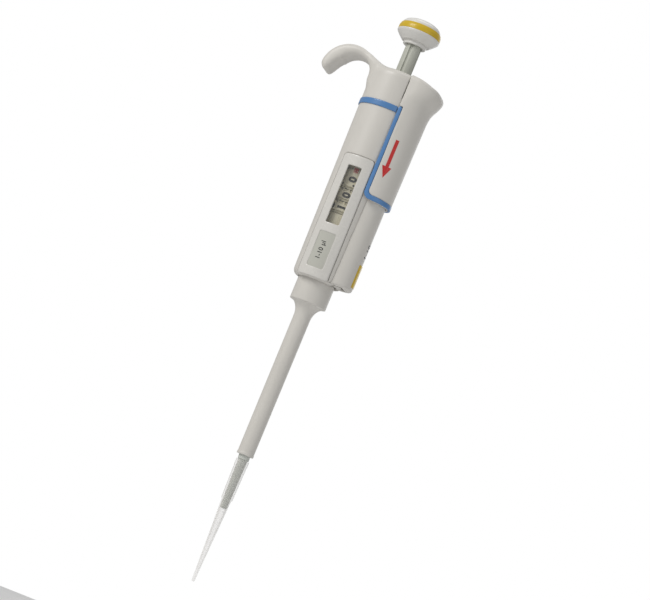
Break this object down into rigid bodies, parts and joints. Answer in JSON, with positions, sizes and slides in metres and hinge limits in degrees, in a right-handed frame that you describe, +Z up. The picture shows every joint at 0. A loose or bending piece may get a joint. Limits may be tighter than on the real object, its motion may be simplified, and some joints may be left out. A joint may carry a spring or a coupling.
{
  "type": "single-channel adjustable micropipette",
  "caption": "Handheld air-displacement micropipette with finger hook, volume-setting plunger knob, ring counter window, thumb ejector lever and a fitted disposable tip.",
  "frame": {"origin": "centre of the disposable tip's open lower end, on the pipette's axis", "axes": "+Z up along the pipette's axis from the tip to the knob; -X towards the finger hook, +X towards the ejector lever; the volume window faces -Y"},
  "size_m": [0.0567, 0.0252, 0.2535],
  "materials": {
    "body_plastic": "fine-grained satin",
    "panel_plastic": "smooth satin",
    "knob_plastic": "satin",
    "grey_plastic": "satin",
    "cone_plastic": "smooth",
    "blue_trim": "smooth",
    "yellow_trim": "smooth",
    "ring_plastic": "matt",
    "pinion_plastic": "matt",
    "window_plastic": "clear",
    "label_film": "smooth",
    "tip_plastic": "translucent",
    "steel": "turned",
    "spring_steel": "drawn",
    "brass": "turned",
    "seal_plastic": "matt",
    "seal_rubber": "matt"
  },
  "bodies": {
    "handle": {"main_housing": "body_plastic", "rear_housing": "body_plastic", "hook_cap": "body_plastic", "housing_band": "blue_trim", "display_panel": "panel_plastic", "display_window": "window_plastic", "label_plate": "label_film", "colour_strip": "yellow_trim", "counter_chassis": "ring_plastic", "transfer_shaft": "steel", "stem_bushing": "grey_plastic", "click_spring": "spring_steel", "calibration_nut": "brass", "tip_cone": "cone_plastic", "piston_seal": "seal_plastic", "o_ring": "seal_rubber", "seal_retainer": "steel", "cap_screws": "steel"},
    "blowout_stage": {"blowout_washer": "steel", "blowout_spring": "spring_steel"},
    "plunger": {"control_rod": "steel", "piston_collar": "grey_plastic", "piston": "steel", "primary_spring": "spring_steel"},
    "knob": {"knob_stem": "grey_plastic", "knob_body": "knob_plastic", "knob_ring": "yellow_trim", "knob_cap": "knob_plastic"},
    "counter_drive": {"drive_sleeve": "grey_plastic", "click_wheel": "ring_plastic", "tenths_ring": "ring_plastic"},
    "units_wheel": {"units_ring": "ring_plastic"},
    "tens_wheel": {"tens_ring": "ring_plastic"},
    "units_carry": {"units_pinion": "pinion_plastic"},
    "tens_carry": {"tens_pinion": "pinion_plastic"},
    "ejector": {"ejector_lever": "body_plastic", "ejector_trim": "blue_trim", "ejector_rod": "steel", "ejector_spring": "spring_steel", "ejector_arm": "grey_plastic", "ejector_tube": "body_plastic"},
    "tip": {"disposable_tip": "tip_plastic"}
  },
  "joints": [
    {"name": "blowout", "type": "slide", "parent": "handle", "child": "blowout_stage", "axis": [0, 0, -1], "range_m": [0, 0.003], "stiffness_N_per_m": 1500, "springref_m": -0.005, "deforming": ["blowout_spring"]},
    {"name": "plunger_press", "type": "slide", "parent": "blowout_stage", "child": "plunger", "axis": [0, 0, -1], "range_m": [0, 0.0088], "stiffness_N_per_m": 250, "springref_m": -0.01, "deforming": ["primary_spring"]},
    {"name": "knob_turn", "type": "hinge", "parent": "plunger", "child": "knob", "pos_m": [0, 0, 0.247], "axis": [0, 0, 1], "range_deg": [-3240, 0]},
    {"name": "counter_turn", "type": "hinge", "parent": "handle", "child": "counter_drive", "pos_m": [0, 0, 0.178], "axis": [0, 0, 1], "range_deg": [-3240, 0]},
    {"name": "units_turn", "type": "hinge", "parent": "handle", "child": "units_wheel", "pos_m": [0, 0, 0.1707], "axis": [0, 0, 1], "range_deg": [-324, 0]},
    {"name": "tens_turn", "type": "hinge", "parent": "handle", "child": "tens_wheel", "pos_m": [0, 0, 0.1652], "axis": [0, 0, 1], "range_deg": [-32.4, 0]},
    {"name": "units_carry_turn", "type": "hinge", "parent": "handle", "child": "units_carry", "pos_m": [0.00979, 0.00208, 0.1732], "axis": [0, 0, 1], "range_deg": [0, 1080]},
    {"name": "tens_carry_turn", "type": "hinge", "parent": "handle", "child": "tens_carry", "pos_m": [0.00979, 0.00208, 0.1677], "axis": [0, 0, 1], "range_deg": [0, 108]},
    {"name": "eject", "type": "slide", "parent": "handle", "child": "ejector", "axis": [0, 0, -1], "range_m": [0, 0.008], "stiffness_N_per_m": 200, "springref_m": -0.008, "deforming": ["ejector_spring"]},
    {"name": "tip_release", "type": "slide", "parent": "ejector", "child": "tip", "axis": [0, 0, -1], "range_m": [0, 0.03]}
  ],
  "couplings": [
    {"joint": "counter_turn", "follows": "knob_turn", "ratio": 1},
    {"joint": "units_turn", "follows": "knob_turn", "ratio": 0.1},
    {"joint": "tens_turn", "follows": "knob_turn", "ratio": 0.01},
    {"joint": "units_carry_turn", "follows": "knob_turn", "ratio": -0.33333},
    {"joint": "tens_carry_turn", "follows": "knob_turn", "ratio": -0.033333}
  ]
}
